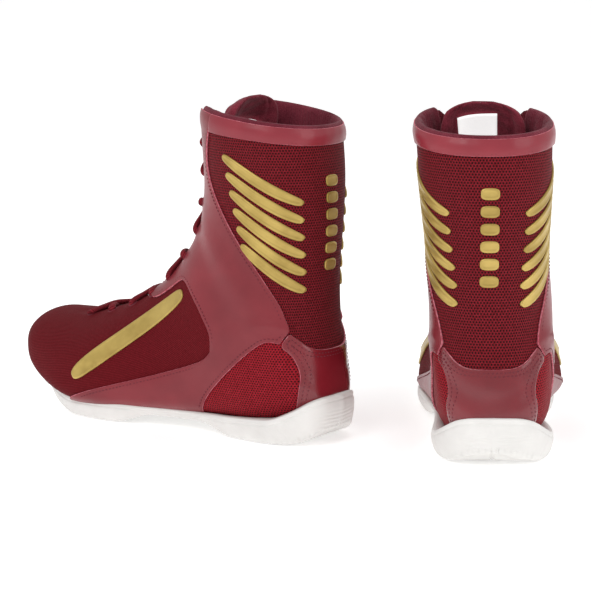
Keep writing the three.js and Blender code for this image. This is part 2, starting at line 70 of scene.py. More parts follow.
LACE = {"half_width": 3.1, "half_thick": 2.1, "rows": 10, "half": 16, "over": 3.0, "under": -4.6,
        "top_z": 211}
FACING_ROWS = 6             # eyelet rows in the quarters; the rest are in the thinner vamp
FACING_STEP = 1.9           # how much lower the vamp lies than the quarters
BEND = (75, 135)            # heights between which the upper bends at the ankle

# Sections of the upper from toe to collar: [front x, z, back x, z, lateral and medial half
# width, sideways shift, egg shape, squareness of the back or bottom half].
SECTIONS = np.array([
    [284.2, 48.3, 284.2, 47.7, 0.2, 0.2, 4, 0, 2],
    [283, 58, 282, 39, 18, 17, 4, 0.05, 2.2],
    [277, 66, 275, 32, 30, 29, 4, 0.1, 2.4],
    [264, 72, 262, 23, 41, 38, 5, 0.16, 2.7],
    [243, 74, 241, 14, 49, 44, 6, 0.2, 3.0],
    [218, 76, 216, 9.5, 54, 48, 7, 0.27, 3.3],
    [190, 84, 188, 8, 54, 49, 7, 0.3, 3.3],
    [167, 95, 160, 9, 49, 44, 6, 0.3, 3.4],
    [150, 108, 128, 10, 44, 40, 5, 0.28, 3.5],
    [137, 122, 90, 10, 43, 39, 4, 0.2, 3.5],
    [127, 137, 46, 10, 44, 40, 4, 0.1, 3.3],
    [120, 152, 10, 22, 43, 41, 3, 0.02, 2.6],
    [117, 166, 9, 50, 43, 41, 2, 0, 2.3],
    [116, 180, 14, 84, 42, 42, 1, 0, 2.2],
    [116, 194, 15.5, 118, 43, 43, 0, 0, 2.2],
    [117, 208, 14, 152, 45, 45, -1, 0, 2.2],
    [118, 222, 14, 186, 47, 47, -2, 0, 2.2],
    [119, 236, 18, 223, 48, 48, -3, 0, 2.2],
])
TOP_SQUARE = 2.15
LAST = len(SECTIONS) - 1

SOLE_PLAN = np.array([      # [x, lateral y, medial y]
    [1, 8, 0], [4, 24, -14], [12, 36, -26], [26, 44, -34], [44, 48.5, -38], [68, 48, -37],
    [95, 45, -35], [120, 45, -35], [145, 50, -39], [170, 57, -43], [195, 59, -46],
    [218, 56, -44], [238, 47, -38], [255, 36, -30], [268, 24, -20], [279, 12, -5],
])
SOLE_HEIGHT = np.array([    # [x, underside z, top edge z]
    [1, 10, 35], [5, 6, 33.5], [9, 3.6, 31.5], [16, 1.4, 27], [26, 0, 22], [36, 0, 18], [78, 0, 15.5],
    [100, 7, 15], [148, 7, 15], [168, 0, 15.5], [218, 0, 15], [238, 4.5, 19], [255, 13, 26.5],
    [268, 24, 35], [279, 34, 43],
])
FLOOR_LINE = [[-20, 10], [46, 10], [160, 9], [216, 9.5], [241, 14], [262, 23], [275, 32],
              [283, 40], [310, 68]]
TOE_LIP = {"from_x": 246, "height": 3.4, "layer": (0.1, 1.9)}   # height is above the floor line

# Side-view outlines, [x, z], of the panels.
SHAFT_EDGE = [[90, 228], [95.5, 214], [98, 198], [94, 184], [85, 170], [66, 144], [48, 122],
              [34, 101], [26.5, 83]]
VAMP_EDGE = [[216, 14], [187, 25], [146, 37], [112, 48], [94, 55]]
VAMP_BACK = [[86.5, 62], [86, 68], [88, 77], [101, 94], [116, 108]]
LOBE_EDGE = [[124, 110], [137, 101], [148, 94], [156, 92], [163, 97], [166, 112]]
WINDOW_FRONT = [[31.5, 72.6], [37, 74.2], [43, 73.5], [56, 64], [75, 46], [92, 28], [104, 6]]
WINDOW_BACK = [[27.8, 78.8], [30.6, 72.6], [31.2, 71.2], [30, 70], [24, 64.5], [20, 55],
               [18.5, 48], [19.5, 36], [22, 27], [28, 6]]
COUNTER_TOP = [[-20, 66], [12, 66.5], [17, 70.5], [21, 75], [25.8, 79.6], [27.1, 80.3]]
HEEL_MESH = [[16, 4], [14.5, 30], [13.5, 50], [18, 66], [28, 76.5], [42, 80], [60, 70],
             [82, 50], [99, 32], [114, 4]]
BAND_LINE = [[-20, 210], [14, 211.5], [50, 216], [92, 219.5], [140, 222]]
COLLAR_TOP = {"z": 223, "x": 18, "slope": 13 / 101}     # the collar's top line in side view

# Printed bars, in side view; the badge's bars are seen from behind.
SHAFT_BARS = {"fronts": [(78, 204), (75, 191.5), (72, 179), (69, 166.5), (66, 154), (63, 141.5)],
              "back_x": 21, "drop": 32, "half": 3.9}
FOREFOOT_BAR = {"start": (205, 33), "end": (120, 101), "half": 7.0}
BADGE = {"from_z": 121, "to_z": 193, "bars": 6, "half": 6.5, "gap": 0.16}

# Sizes of small things, and the numbers of points in the sole's net.
EYELET = {"radius": 3.4, "wire": 0.75, "swell": 0.9, "swell_reach": 5.5}
TONGUE_TOP = {"lean": 15, "lean_from": 2.5, "rise": 12, "past": 0.55}
LABEL_DROP = {"left": 2.2, "right": 1.6}    # how far its lower end is below the collar's section
SOLE_STEPS = 230            # points along each side of the sole
SOLE_ACROSS = 44            # points round its toe and round its heel

# The stage, in metres and watts.
CAMERA = {"target": (0.0017, -0.1128, 0.115), "distance": 1.5, "elevation": 10, "lens": 133.4}
LIGHTS = [                  # [name, place, size, power]
    ["key", (-0.9, -1.3, 1.5), (1.0, 1.0), 10],
    ["fill", (1.5, -0.9, 0.9), (0.9, 1.2), 5],
    ["back", (0.3, 1.5, 1.2), (1.4, 0.8), 7],
]
LIGHT_AIM = (0, 0, 0.12)
WORLD_GLOW = 0.7
FLOOR = {"half": 60.0, "below": 0.0005, "glow": 0.32}


# ---- the upper's skin ----------------------------------------------------------------
def blend_rows(rows, t):
    """Rows of a table blended at the places t by a smooth curve through them."""
    t = np.clip(np.asarray(t, float), 0, len(rows) - 1)
    index = np.minimum(t.astype(int), len(rows) - 2)
    f = (t - index)[..., None]
    padded = np.vstack([2 * rows[0] - rows[1], rows, 2 * rows[-1] - rows[-2]])
    a, b, c, d = (padded[index + k] for k in range(4))
    return 0.5 * (2 * b + (c - a) * f + (2 * a - 5 * b + 4 * c - d) * f ** 2
                  + (3 * b - a - 3 * c + d) * f ** 3)


def skin(t, v):
    """Points of the skin: t counts sections from the toe; v is 0 on the top or front line and
    -1 or 1 on the bottom or back line, positive on the lateral side."""
    fx, fz, bx, bz, lateral, medial, shift, egg, square = np.moveaxis(
        blend_rows(SECTIONS, t), -1, 0)
    v = (np.asarray(v, float) + 1) % 2 - 1
    c = np.cos(math.pi * np.abs(v))
    s = np.maximum(0, np.sin(math.pi * np.abs(v)))
    power = 2 / np.where(c > 0, TOP_SQUARE, square)
    h = 0.5 * (1 - np.sign(c) * np.abs(c) ** power)
    half = np.where(v > 0, lateral, medial) * s ** power * (1 - egg * c)
    beyond = np.maximum(0, np.asarray(t, float) - LAST)
    x = fx + (bx - fx) * h
    return np.stack([x, shift + np.sign(v) * half, fz + (bz - fz) * h + 14 * beyond], -1)


def unit(vectors):
    return vectors / np.maximum(np.linalg.norm(vectors, axis=-1, keepdims=True), 1e-9)


def skin_normal(t, v, step=0.02):
    low = np.clip(np.asarray(t, float) - step, 0.4, LAST - 2 * step)
    along = skin(low + 2 * step, v) - skin(low, v)
    around = skin(low + step, v + step) - skin(low + step, v - step)
    return unit(np.cross(around, along))


def raised(t, v, offset):
    return skin(t, v) + skin_normal(t, v) * np.asarray(offset, float)[..., None]


def angle_at(t, distance):
    """The angle v at which the skin is that far from the throat's centre line."""
    row = blend_rows(SECTIONS, t)
    half = 0.5 * (row[..., 4] + row[..., 5]) * (1 - row[..., 7])
    share = np.minimum(1, np.abs(distance) / half)
    return np.sign(distance) * np.arcsin(share ** (TOP_SQUARE / 2)) / math.pi


def front_at(value, column):
    """The place t at which the front line reaches an x (column 0) or a z (column 1)."""
    t = np.linspace(3, LAST, 2000)
    line = blend_rows(SECTIONS, t)[:, column]
    return float(t[np.argmin(np.abs(line - value))])


THROAT_START = front_at(THROAT_FRONT, 0)


# ---- nets of points on the skin, and fields over them --------------------------------
class Net:
    """Points on the skin in rows of t and columns of v."""

    def __init__(self, t_range, rows, v_range=(-1, 1), columns=160, closed=True):
        self.rows, self.columns, self.closed = rows, columns, closed
        t = np.linspace(*t_range, rows)
        v = np.linspace(*v_range, columns, endpoint=not closed)
        self.t, self.v = (a.ravel() for a in np.meshgrid(t, v, indexing="ij"))
        self.point = skin(self.t, self.v)
        self.normal = skin_normal(self.t, self.v)
        self.across = self.point[:, 1] - blend_rows(SECTIONS, self.t)[:, 6]
        x, z = self.point[:, 0], self.point[:, 2]
        grid = self.point.reshape(rows, columns, 3)
        arc = np.zeros((rows, columns))
        arc[:, 1:] = np.cumsum(np.linalg.norm(np.diff(grid, axis=1), axis=2), axis=1)
        whole = arc[:, -1:] + np.linalg.norm(grid[:, -1] - grid[:, 0], axis=1)[:, None]
        middle = int(np.argmin(np.abs(v)))
        self.uv = {
            "side": np.stack([x, z], 1),
            "girth": np.stack([(arc - arc[:, middle:middle + 1]).ravel(), x], 1),
            "back": np.stack([np.where(v > 0, arc - whole, arc).ravel(), z], 1),
        }

    def cells(self):
        last = self.columns if self.closed else self.columns - 1
        r, c = np.meshgrid(np.arange(self.rows - 1), np.arange(last), indexing="ij")
        right = (c + 1) % self.columns
        low, high = r * self.columns, (r + 1) * self.columns
        return np.stack([low + c, low + right, high + right, high + c], -1).reshape(-1, 4)


def rounded(outline, turns=2):
    """The closed outline with its corners cut, turn by turn."""
    points = np.array(outline, float)
    for _ in range(turns):
        after = np.roll(points, -1, axis=0)
        points = np.stack([0.8 * points + 0.2 * after, 0.2 * points + 0.8 * after], 1).reshape(-1, 2)
    return points


def inside_distance(places, outline):
    """How far each place is inside a closed outline; negative outside it."""
    start = np.asarray(outline, float)
    end = np.roll(start, -1, axis=0)
    nearest = np.full(len(places), 1e9)
    inside = np.zeros(len(places), bool)
    px, pz = places[:, 0], places[:, 1]
    for (ax, az), (bx, bz) in zip(start, end):
        dx, dz = bx - ax, bz - az
        share = np.clip(((px - ax) * dx + (pz - az) * dz) / max(dx * dx + dz * dz, 1e-9), 0, 1)
        nearest = np.minimum(nearest, np.hypot(px - ax - share * dx, pz - az - share * dz))
        if az != bz:
            crosses = (az > pz) != (bz > pz)
            inside ^= crosses & (px < dx * (pz - az) / dz + ax)
    return np.where(inside, nearest, -nearest)


def panel_field(net, outline):
    return inside_distance(net.uv["side"], rounded(outline))


def throat_half(half, z):
    """Half the width of the lacing slot at each height."""
    low, high = COLLAR_OPENING["from_z"], COLLAR_OPENING["to_z"]
    return half + COLLAR_OPENING["wider"] * np.clip((z - low) / (high - low), 0, 1)


def throat_field(net, half):
    """Positive outside the lacing slot, which has a round front end and opens at the collar."""
    ahead = np.maximum(0, net.point[:, 0] - (THROAT_FRONT - half))
    near = np.hypot(ahead, net.across) - throat_half(half, net.point[:, 2])
    return np.where(np.abs(net.v) < 0.5, near, 50.0)


def floor_field(net, lift):
    line = np.array(FLOOR_LINE, float)
    return net.point[:, 2] - np.interp(net.point[:, 0], line[:, 0], line[:, 1]) - lift


def shifted(points, dx, dz):
    return [[x + dx, z + dz] for x, z in points]


# ---- shells cut from a net -----------------------------------------------------------
class Cut:
    """The part of a net where a field is above zero, cut along the line where it is zero."""

    def __init__(self, net, field):
        inside = field > 0
        kept = np.flatnonzero(inside)
        index = np.full(len(field), -1)
        index[kept] = np.arange(len(kept))
        cells = net.cells()
        count = inside[cells].sum(1)
        self.faces = index[cells[count == 4]].tolist()
        first, second, share = list(kept), list(kept), [0.0] * len(kept)
        crossing = {}
        for cell in cells[(count > 0) & (count < 4)].tolist():
            face = []
            for a, b in zip(cell, cell[1:] + cell[:1]):
                if inside[a]:
                    face.append(int(index[a]))
                if inside[a] == inside[b]:
                    continue
                key = (a, b) if a < b else (b, a)
                if key not in crossing:
                    crossing[key] = len(first)
                    first.append(key[0])
                    second.append(key[1])
                    exact = field[key[0]] / (field[key[0]] - field[key[1]])
                    share.append(float(np.clip(exact, 0.06, 0.94)))
                face.append(crossing[key])
            self.faces.append(face)
        self.first, self.second = np.array(first, int), np.array(second, int)
        self.share = np.array(share)

    def take(self, values):
        f = self.share if values.ndim == 1 else self.share[:, None]
        return values[self.first] * (1 - f) + values[self.second] * f

    def border(self):
        """The vertex that follows each border vertex, going round the cut counterclockwise."""
        edges = set()
        for face in self.faces:
            edges.update(zip(face, face[1:] + face[:1]))
        return {a: b for a, b in edges if (b, a) not in edges}


RIM = [(0.7, 0.88), (1.0, 0.5), (1.0, 0.0)]     # (share of the inset, share of the height)


class Shape:
    """Vertices, faces, one texture place for each vertex, and a material number for each face."""

    def __init__(self, points, faces, uv=None, numbers=None):
        self.points = np.asarray(points, float)
        self.faces = faces
        self.uv = np.zeros((len(self.points), 2)) if uv is None else np.asarray(uv, float)
        self.numbers = [0] * len(faces) if numbers is None else numbers

    def turned(self):
        """The same shape with its faces turned over."""
        return Shape(self.points, [face[::-1] for face in self.faces], self.uv, self.numbers)


def joined(shapes):
    points, faces, uv, numbers, base = [], [], [], [], 0
    for shape in shapes:
        points.append(shape.points)
        uv.append(shape.uv)
        faces.extend([index + base for index in face] for face in shape.faces)
        numbers.extend(shape.numbers)
        base += len(shape.points)
    return Shape(np.vstack(points), faces, np.vstack(uv), numbers)


def shell(net, field, layer, uv="side", inset=0.7, bulge=None):
    """A closed panel between two distances from the skin, with a rolled edge."""
    cut = Cut(net, field - inset)
    point = cut.take(net.point)
    normal = unit(cut.take(net.normal))
    low, high = layer
    raise_by = high + (cut.take(bulge) if bulge is not None else np.zeros(len(point)))
    follow = cut.border()
    ring = np.array(list(follow), int)
    place = {vertex: k for k, vertex in enumerate(ring.tolist())}
    outward = np.zeros_like(point)
    for a, b in follow.items():
        push = np.cross(point[b] - point[a], normal[a])
        outward[a] += push
        outward[b] += push
    outward = unit(outward)[ring]
    texture = cut.take(net.uv[uv])
    points = [point + normal * raise_by[:, None]]
    textures = [texture]
    for out_share, height in RIM:
        lift = low + (raise_by[ring] - low) * height
        points.append(point[ring] + outward * inset * out_share + normal[ring] * lift[:, None])
        textures.append(texture[ring])
    points.append(point + normal * (low + np.minimum(0, raise_by - high))[:, None])
    textures.append(texture)
    count, size = len(point), len(ring)
    under = count + len(RIM) * size
    faces = list(cut.faces)
    numbers = [0] * len(faces)
    levels = [lambda vertex: vertex]
    for k in range(len(RIM)):
        levels.append(lambda vertex, k=k: count + k * size + place[vertex])
    levels.append(lambda vertex: under + vertex)
    for k, (upper, lower) in enumerate(zip(levels, levels[1:])):
        for a, b in follow.items():
            faces.append([upper(b), upper(a), lower(a), lower(b)])
            # The rim's side faces take the second material, which on the leather panels is the pale
            # edge with its painted highlight.
            numbers.append(1 if k in (1, 2) else 0)
    faces.extend([under + index for index in reversed(face)] for face in cut.faces)
    numbers.extend([0] * len(cut.faces))
    return Shape(np.vstack(points), faces, np.vstack(textures), numbers)


def edge_paths(net, field, distance, allowed):
    """Chains of (point, normal) along the line at a distance inside a field's edge."""
    cut = Cut(net, field - distance)
    point, normal = cut.take(net.point), unit(cut.take(net.normal))
    good = cut.take(allowed) > 0
    level = np.abs(cut.take(field) - distance) < 0.4
    good &= level
    follow = cut.border()
    seen, chains = set(), []
    for start in follow:
        if start in seen:
            continue
        loop, vertex = [], start
        while vertex not in seen and vertex in follow:
            seen.add(vertex)
            loop.append(vertex)
            vertex = follow[vertex]
        first_bad = next((k for k, index in enumerate(loop) if not good[index]), 0)
        loop = loop[first_bad:] + loop[:first_bad]
        chain = []
        for index in loop + [None]:
            if index is not None and good[index]:
                chain.append(index)
            elif chain:
                if len(chain) > 3:
                    chains.append((point[chain], normal[chain]))
                chain = []
    return chains


def stitches(chains, pitch=2.9, length=2.0, width=0.42, lift=1.05):
    """Short raised threads along chains of points."""
    sides, bends = 5, (-1, -0.55, 0.55, 1)
    shapes = []
    for points, normals in chains:
        steps = np.linalg.norm(np.diff(points, axis=0), axis=1)
        arc = np.concatenate([[0], np.cumsum(steps)])
        for centre in np.arange(pitch, arc[-1] - pitch / 2, pitch):
            ends = np.array([centre - length / 2, centre + length / 2])
            a, b = (np.array([np.interp(e, arc, points[:, k]) for k in range(3)]) for e in ends)
            n = unit(np.array([np.interp(centre, arc, normals[:, k]) for k in range(3)]))
            along = unit(b - a)
            side = np.cross(along, n)
            middle = (a + b) / 2 + n * lift
            vertices = []
            for bend in bends:
                radius = width * (1 if abs(bend) < 0.9 else 0.35)
                sink = 0.45 * bend * bend
                for k in range(sides):
                    angle = 2 * math.pi * k / sides
                    vertices.append(middle + along * bend * length / 2 - n * sink
                                    + side * radius * math.cos(angle) + n * radius * math.sin(angle))
            faces = []
            for ring in range(len(bends) - 1):
                for k in range(sides):
                    p, q = ring * sides + k, ring * sides + (k + 1) % sides
                    faces.append([p, p + sides, q + sides, q])
            top = (len(bends) - 1) * sides
            faces += [list(range(sides)), list(range(top, top + sides))[::-1]]
            shapes.append(Shape(vertices, faces))
    return joined(shapes)


def sheet_shape(grid, uv, closed=False):
    """A shape from a grid of points, with rows first; closed joins the last column to the first."""
    rows, columns = grid.shape[:2]
    faces = []
    for r in range(rows - 1):
        for c in range(columns if closed else columns - 1):
            d = (c + 1) % columns
            faces.append([r * columns + c, r * columns + d, (r + 1) * columns + d,
                          (r + 1) * columns + c])
    return Shape(grid.reshape(-1, 3), faces, uv.reshape(-1, 2))


def capped(grid, uv, inside_out=False):
    """A closed shape from rings of points, with a face over the first ring and the last."""
    shape = sheet_shape(grid, uv, closed=True)
    rings, count = grid.shape[:2]
    last = (rings - 1) * count
    faces = [*shape.faces, list(range(count))[::-1], list(range(last, last + count))]
    whole = Shape(shape.points, faces, shape.uv)
    return whole.turned() if inside_out else whole


def tube(path, radius, sides=10, normals=None, thick=None):
    """A round tube along a path, or a flat one if given normals and half its thickness."""
    tangent = unit(np.gradient(path, axis=0))
    if normals is None:
        normals, thick = np.zeros_like(path), radius
        normal = unit(np.cross(tangent[0], [0.3, 0.2, 1.0]))
        for k, direction in enumerate(tangent):
            normal = unit(normal - direction * np.dot(normal, direction))
            normals[k] = normal
    across = unit(np.cross(tangent, normals))
    other = np.cross(across, tangent)
    arc = np.concatenate([[0], np.cumsum(np.linalg.norm(np.diff(path, axis=0), axis=1))])
    angle = 2 * math.pi * np.arange(sides) / sides
    grid = (path[:, None] + radius * np.cos(angle)[None, :, None] * across[:, None]
            + thick * np.sin(angle)[None, :, None] * other[:, None])
    uv = np.stack(np.broadcast_arrays(arc[:, None], angle[None, :] / (2 * math.pi)), -1)
    return capped(grid, uv, inside_out=True)


def smooth_path(points, steps=8):
    points = np.asarray(points, float)
    return blend_rows(points, np.linspace(0, len(points) - 1, (len(points) - 1) * steps + 1))


# ---- pieces as objects ---------------------------------------------------------------
def placed(points, boot):
    """Boot-frame millimetres to row-frame metres."""
    angle = math.radians(boot["heading"])
    c, s, m = math.cos(angle), math.sin(angle), boot["mirror"]
    x, y, z = points[:, 0], m * points[:, 1], points[:, 2]
    return MM * np.stack([boot["heel"][0] + c * x - s * y, boot["heel"][1] + s * x + c * y, z], 1)


def fasten(obj, side, low, high):
    """Attaches the piece to the foot or the shaft by how high it reaches; a piece that spans the bend
    is baked in place instead.
    """
    foot, shaft = f"{side}_foot", f"{side}_shaft"
    if high < BEND[0]:
        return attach(obj, foot)
    if low > BEND[1]:
        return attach(obj, shaft)
    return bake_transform(obj)


def make(name, shape, looks, node=None, sides=("left", "right")):
    """One object on each boot, made with the named looks; node is the CAD node it stands for."""
    objects = []
    for side in sides:
        boot = BOOTS[side]
        faces = shape.faces
        if boot["mirror"] < 0:
            faces = [face[::-1] for face in faces]
        mesh = bpy.data.meshes.new(f"{side}_{name}_mesh")
        mesh.from_pydata(placed(shape.points, boot).tolist(), [], faces)
        layer = mesh.uv_layers.new(name="UVMap")
        corners = np.concatenate([np.asarray(face) for face in faces])
        layer.data.foreach_set("uv", (shape.uv[corners] * CENTIMETRES).astype(np.float32).ravel())
        for look in looks:
            mesh.materials.append(LOOKS[look])
        if len(looks) > 1:
            mesh.polygons.foreach_set("material_index", shape.numbers)
        mesh.shade_smooth()
        mesh.validate()
        obj = bpy.data.objects.new(f"{side}_{name}_look", mesh)
        bpy.context.scene.collection.objects.link(obj)
        fasten(obj, side, shape.points[:, 2].min(), shape.points[:, 2].max())
        if node:
            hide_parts(f"{side}_{node}")
        objects.append(obj)
    return objects


# ---- materials -----------------------------------------------------------------------
def linear_rgb(code):
    values = [int(code[k:k + 2], 16) / 255 for k in (1, 3, 5)]
    return [c / 12.92 if c <= 0.04045 else ((c + 0.055) / 1.055) ** 2.4 for c in values]


class Look:
    """A material built from nodes round one Principled shader."""

    def __init__(self, name, roughness, **sockets):
        self.material = bpy.data.materials.new(name)
        self.material.use_nodes = True
        self.tree = self.material.node_tree
        self.shader = self.tree.nodes["Principled BSDF"]
        self.shader.inputs["Roughness"].default_value = roughness
        for key, value in sockets.items():
            self.shader.inputs[key.replace("_", " ")].default_value = value

    def node(self, kind, **settings):
        node = self.tree.nodes.new(f"ShaderNode{kind}")
        for key, value in settings.items():
            setattr(node, key, value)
        return node

    def feed(self, socket, value):
        if isinstance(value, bpy.types.NodeSocket):
            self.tree.links.new(value, socket)
        else:
            socket.default_value = value

    def math(self, operation, a, b=0.0, c=0.0):
        node = self.node("Math", operation=operation)
        for socket, value in zip(node.inputs, (a, b, c)):
            self.feed(socket, value)
        return node.outputs[0]

    def vector(self, operation, a, b=(0, 0, 0)):
        node = self.node("VectorMath", operation=operation)
        self.feed(node.inputs[0], a)
        self.feed(node.inputs[1], b)
        return node.outputs["Value" if operation == "LENGTH" else "Vector"]

    def uv(self):
        return self.node("TexCoord").outputs["UV"]

    def solid(self):
        return self.node("TexCoord").outputs["Object"]

    def noise(self, scale, detail=3.0, vector=None):
        node = self.node("TexNoise")
        self.feed(node.inputs["Vector"], vector or self.solid())
        node.inputs["Scale"].default_value = scale
        node.inputs["Detail"].default_value = detail
        return node.outputs["Fac"]

    def wave(self, scale, vector, direction="X", distortion=0.0):
        node = self.node("TexWave", wave_type="BANDS", bands_direction=direction)
        self.feed(node.inputs["Vector"], vector)
        node.inputs["Scale"].default_value = scale
        node.inputs["Distortion"].default_value = distortion
        return node.outputs["Fac"]

    def ramp(self, fac, low, high):
        node = self.node("MapRange")
        self.feed(node.inputs["Value"], fac)
        node.inputs["From Min"].default_value = low
        node.inputs["From Max"].default_value = high
        return node.outputs["Result"]

    def mix(self, fac, a, b):
        node = self.node("Mix", data_type="RGBA")
        self.feed(node.inputs["Factor"], fac)
        for socket, value in ((node.inputs[6], a), (node.inputs[7], b)):
            self.feed(socket, (*linear_rgb(value), 1) if isinstance(value, str) else value)
        return node.outputs[2]

    def colour(self, socket):
        self.tree.links.new(socket, self.shader.inputs["Base Color"])

    def bump(self, height, distance, strength=1.0):
        node = self.node("Bump")
        self.tree.links.new(height, node.inputs["Height"])
        node.inputs["Distance"].default_value = distance
        node.inputs["Strength"].default_value = strength
        self.tree.links.new(node.outputs["Normal"], self.shader.inputs["Normal"])

    def rough(self, socket):
        self.tree.links.new(socket, self.shader.inputs["Roughness"])


def leather(name, dark, light, roughness, coat):
    look = Look(name, roughness, Specular_IOR_Level=0.3, Coat_Weight=coat, Coat_Roughness=0.22)
    tone = look.ramp(look.noise(22, 4), 0.3, 0.7)
    grain = look.noise(1300, 2)
    look.colour(look.mix(tone, dark, light))
    look.bump(grain, 0.00012, 0.5)
    look.rough(look.math("MULTIPLY_ADD", look.noise(240, 3), 0.16, roughness - 0.08))
    return look.material


def edge_and_highlight(name, colour, pale):
    # The pale pink of the panels' rims is partly the raw cut edge's own lighter colour and partly a
    # painted highlight along the edge.
    look = Look(name, 0.7)
    look.colour(look.mix(look.ramp(look.noise(500, 3), 0.35, 0.65), colour, pale))
    return look.material


def honeycomb(name, pitch, thread, light, hole, holes=0.31):
    """Round holes in staggered rows, pitch apart in the texture's units of a centimetre."""
    look = Look(name, 0.7, Specular_IOR_Level=0.12, Sheen_Weight=0.02, Sheen_Roughness=0.5)
    size = (pitch, pitch * math.sqrt(3), 1)
    reach = []
    for shift in ((0, 0, 0), (size[0] / 2, size[1] / 2, 0)):
        place = look.vector("ADD", look.uv(), shift)
        cell = look.vector("FRACTION", look.vector("DIVIDE", place, size))
        from_middle = look.vector("SUBTRACT", cell, (0.5, 0.5, 0))
        reach.append(look.vector("LENGTH", look.vector("MULTIPLY", from_middle, (*size[:2], 0))))
    distance = look.math("MINIMUM", *reach)
    solid = look.ramp(distance, pitch * (holes - 0.09), pitch * (holes + 0.06))
    tone = look.mix(look.ramp(look.noise(900, 2), 0.35, 0.65), thread, light)
    look.colour(look.mix(solid, hole, tone))
    look.bump(solid, 0.0006, 0.8)
    return look.material


def ribbed(name, pitch, low, high, direction="X", roughness=0.85, depth=0.0003, cross=0.0):
    """Fine ribs, pitch apart in centimetres, with a smaller cross weave."""
    look = Look(name, roughness, Specular_IOR_Level=0.1, Sheen_Weight=0.02, Sheen_Roughness=0.5)
    wave_unit = 0.314159        # one band of the wave texture at scale 1
    ribs = look.wave(wave_unit / pitch, look.uv(), direction, 0.4)
    if cross:
        other = look.wave(wave_unit / cross, look.uv(), "Y" if direction == "X" else "X", 0.6)
        ribs = look.math("MULTIPLY", ribs, look.math("MULTIPLY_ADD", other, 0.6, 0.4))
    shade = look.math("MULTIPLY_ADD", look.noise(700, 3), 0.5, look.math("MULTIPLY", ribs, 0.6))
    look.colour(look.mix(look.ramp(shade, 0.2, 0.85), low, high))
    look.bump(ribs, depth, 0.9)
    return look.material


def fleece(name, low, high):
    look = Look(name, 0.95, Specular_IOR_Level=0.1, Sheen_Weight=0.12, Sheen_Roughness=0.5)
    pile = look.noise(1100, 4)
    patch = look.noise(60, 3)
    shade = look.math("MULTIPLY_ADD", patch, 0.5, look.math("MULTIPLY", pile, 0.6))
    look.colour(look.mix(look.ramp(shade, 0.35, 0.75), low, high))
    look.bump(pile, 0.0006, 0.9)
    return look.material


def gold(name):
    look = Look(name, 0.36, Metallic=0.55)
    brushed = look.noise(420, 3)
    # The tone runs in random blotches between lit gold and the print's shaded gold: the darker end is
    # painted shade.
    look.colour(look.mix(look.ramp(look.noise(45, 3), 0.3, 0.7), "#a58a45", "#cdb163"))
    look.rough(look.math("MULTIPLY_ADD", brushed, 0.2, 0.26))
    look.bump(brushed, 0.00008, 0.5)
    return look.material


def rubber(name):
    look = Look(name, 0.55)
    look.colour(look.mix(look.ramp(look.noise(35, 4), 0.3, 0.7), "#e0dedb", "#edebe8"))
    look.bump(look.noise(1500, 3), 0.00008, 0.5)
    return look.material


def plain_board(name, low, high, glow=0.0):
    look = Look(name, 0.9, Emission_Color=(1, 1, 1, 1), Emission_Strength=glow)
    look.colour(look.mix(look.noise(300, 5), low, high))
    look.bump(look.noise(900, 4), 0.0003, 0.6)
    return look.material


LOOKS = {
    "maroon": leather("maroon_leather", "#752029", "#8a2b34", 0.4, 0.2),
    "band": leather("band_leather", "#832531", "#97323d", 0.36, 0.25),
    "gloss": leather("gloss_leather", "#6a121c", "#84212b", 0.14, 0.7),
    # rims of the panels: the raw edge colour with a painted edge highlight
    "edge": edge_and_highlight("raw_edge_and_highlight", "#b04456", "#d9808c"),
    "shaft": honeycomb("honeycomb_mesh", 0.22, "#6b0e17", "#861e29", "#240306"),
    "heel": honeycomb("heel_knit", 0.2, "#860f1a", "#a4202e", "#38060b", 0.29),
    "vamp": ribbed("forefoot_textile", 0.13, "#52080f", "#7b1a23", "X", 0.85, 0.0003, 0.11),
    "lining": ribbed("lining_textile", 0.3, "#4c121b", "#84343f", "X", 0.95, 0.0005, 0.13),
    "fleece": fleece("collar_fleece", "#521522", "#843543"),
    "tongue": fleece("tongue_textile", "#5e1825", "#9c3e4e"),
    "lace": ribbed("lace_cord", 0.12, "#560c15", "#8c2631", "X", 0.75, 0.0004),
    "thread": plain_board("stitch_thread", "#5e1622", "#7c2c39"),
    "gold": gold("gold_print"),
    "rubber": rubber("sole_rubber"),
    "board": plain_board("sewn_board", "#8f7c5c", "#b8a582"),
    "stiffener": plain_board("stiffener_sheet", "#8d8378", "#a79d90"),
    # The label glows though it is no lamp: painted light that keeps it white inside the boot.
    "label": plain_board("white_label", "#f4f2ef", "#fdfcfa", 0.6),
}


# ---- the pieces ----------------------------------------------------------------------
net = Net((0.03, LAST), 230)
side_of = {"lateral": net.across, "medial": -net.across}
throat = throat_field(net, THROAT_HALF)
above_floor = floor_field(net, 0.5)
x_all, z_all = net.uv["side"].T


def collar_bulge():
    """The padded collar swells the band and the tops of the quarters, and turns in at the top."""
    line = np.array(BAND_LINE, float)
    low = np.interp(x_all, line[:, 0], line[:, 1])
    top = COLLAR_TOP["z"] + (x_all - COLLAR_TOP["x"]) * COLLAR_TOP["slope"]
    s = np.clip((z_all - low) / (top - low), 0, 1)
    return 0.7 * np.sin(math.pi * s) - 0.5 * s ** 6


def soft_waves(height, reach):
    """Slow waves of cloth or leather, by how the skin lies in space."""
    x, y, z = net.point.T
    wave = np.sin(x / reach + 1.3) * np.sin(z / (reach * 0.8) + y / (reach * 1.3))
    return height * wave


def eyelet_rows():
    """Places of the eyelet rows, evenly spaced along the front line; the first is the top one."""
    t = np.linspace(THROAT_START + 0.42, front_at(LACE["top_z"], 1), 800)
    steps = np.linalg.norm(np.diff(skin(t, 0 * t), axis=0), axis=1)
    arc = np.concatenate([[0], np.cumsum(steps)])
    return np.interp(np.linspace(arc[-1], 0, LACE["rows"]), arc, t)


def on_facing(t, distance, offset):
    return raised(t, angle_at(t, distance), offset)


